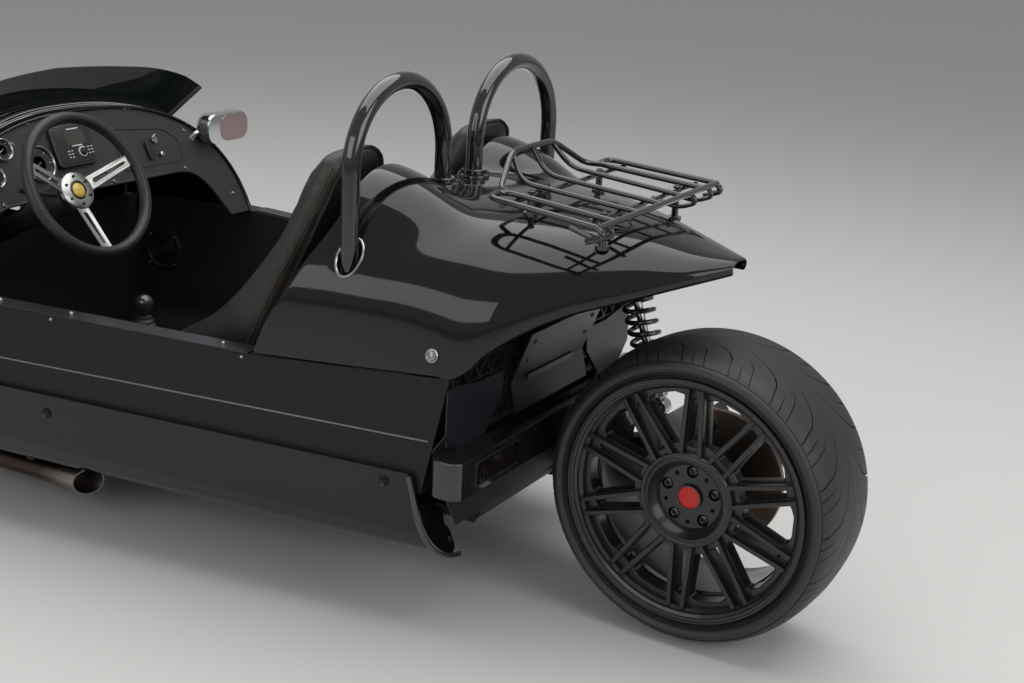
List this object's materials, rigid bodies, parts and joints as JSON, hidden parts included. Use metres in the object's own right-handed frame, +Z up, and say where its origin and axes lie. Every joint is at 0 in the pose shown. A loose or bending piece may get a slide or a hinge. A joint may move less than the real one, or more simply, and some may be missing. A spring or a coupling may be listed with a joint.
{
  "type": "three-wheeled roadster",
  "caption": "Open two-seat roadster with a pair of steered front wheels and a wide driven rear wheel, twin roll hoops, pointed tail and luggage rack.",
  "frame": {"origin": "on the ground, under the middle of the vehicle's bounding box", "axes": "+X forward, +Y to the vehicle's left, +Z up; it stands on its wheels"},
  "size_m": [3.5564, 1.735, 1.1458],
  "materials": {
    "body_black": "high-gloss",
    "satin_black": "satin",
    "tub_black": "matte",
    "sill_aluminium": "brushed",
    "engine_grey": "cast",
    "grille_black": "matte",
    "screen": "tinted",
    "dash_black": "grained",
    "gloss_black": "gloss",
    "hoop_black": "gloss",
    "seat_leather": "semi-gloss",
    "tyre": "moulded",
    "rim_black": "satin",
    "disc_iron": "machined",
    "knuckle_metal": "cast",
    "arm_steel": "satin",
    "damper_steel": "brushed",
    "lamp_chrome": "polished",
    "mirror_chrome": "polished",
    "wheel_leather": "smooth",
    "pipe_steel": "heat-stained",
    "lamp_black": "gloss"
  },
  "bodies": {
    "vehicle": {"side_panels": "satin_black", "chassis_tub": "tub_black", "lower_sills": "body_black", "sill_plates": "sill_aluminium", "engine_block": "engine_grey", "cowl": "body_black", "bonnet": "body_black", "nose_surround": "body_black", "nose_grille": "grille_black", "windscreen": "screen", "dashboard": "dash_black", "dash_fittings": "gloss_black", "tail_shell": "body_black", "roll_hoops": "hoop_black", "luggage_rack": "hoop_black", "seats": "seat_leather", "front_arms": "arm_steel", "front_dampers": "damper_steel", "drive_shafts": "damper_steel", "headlamps": "lamp_chrome", "mirrors": "mirror_chrome", "steering_column": "satin_black", "gear_lever": "seat_leather", "pedals": "sill_aluminium", "swing_arm": "knuckle_metal", "rear_caliper": "knuckle_metal", "rear_shock": "damper_steel", "rear_grille": "grille_black", "rear_centre_panel": "satin_black", "rear_corner_panels": "satin_black", "rear_lamp_bar": "lamp_black", "exhaust": "pipe_steel"},
    "rear_wheel": {"rear_tyre": "tyre", "rear_rim": "rim_black", "rear_disc": "disc_iron"},
    "left_knuckle": {"knuckle_left": "knuckle_metal", "fender_left": "body_black"},
    "right_knuckle": {"knuckle_right": "knuckle_metal", "fender_right": "body_black"},
    "left_front_wheel": {"front_tyre_left": "tyre", "front_rim_left": "rim_black", "front_disc_left": "disc_iron"},
    "right_front_wheel": {"front_tyre_right": "tyre", "front_rim_right": "rim_black", "front_disc_right": "disc_iron"},
    "hand_wheel": {"steering_wheel": "wheel_leather"}
  },
  "joints": [
    {"name": "rear_wheel_spin", "type": "hinge", "parent": "vehicle", "child": "rear_wheel", "pos_m": [-1.45675, 0, 0.3265], "axis": [0, 1, 0], "continuous": true},
    {"name": "front_left_steer", "type": "hinge", "parent": "vehicle", "child": "left_knuckle", "pos_m": [1.08325, 0.675, 0.3185], "axis": [0, 0, 1], "range_deg": [-30, 30]},
    {"name": "front_right_steer", "type": "hinge", "parent": "vehicle", "child": "right_knuckle", "pos_m": [1.08325, -0.675, 0.3185], "axis": [0, 0, 1], "range_deg": [-30, 30]},
    {"name": "front_left_spin", "type": "hinge", "parent": "left_knuckle", "child": "left_front_wheel", "pos_m": [1.08325, 0.755, 0.3185], "axis": [0, 1, 0], "continuous": true},
    {"name": "front_right_spin", "type": "hinge", "parent": "right_knuckle", "child": "right_front_wheel", "pos_m": [1.08325, -0.755, 0.3185], "axis": [0, 1, 0], "continuous": true},
    {"name": "steering_wheel_turn", "type": "hinge", "parent": "vehicle", "child": "hand_wheel", "pos_m": [0.09325, 0.25, 0.775], "axis": [-0.8813, 0, 0.4726], "range_deg": [-365, 365]}
  ],
  "couplings": [
    {"joint": "front_right_steer", "follows": "front_left_steer", "ratio": 1},
    {"joint": "steering_wheel_turn", "follows": "front_left_steer", "ratio": 12}
  ]
}
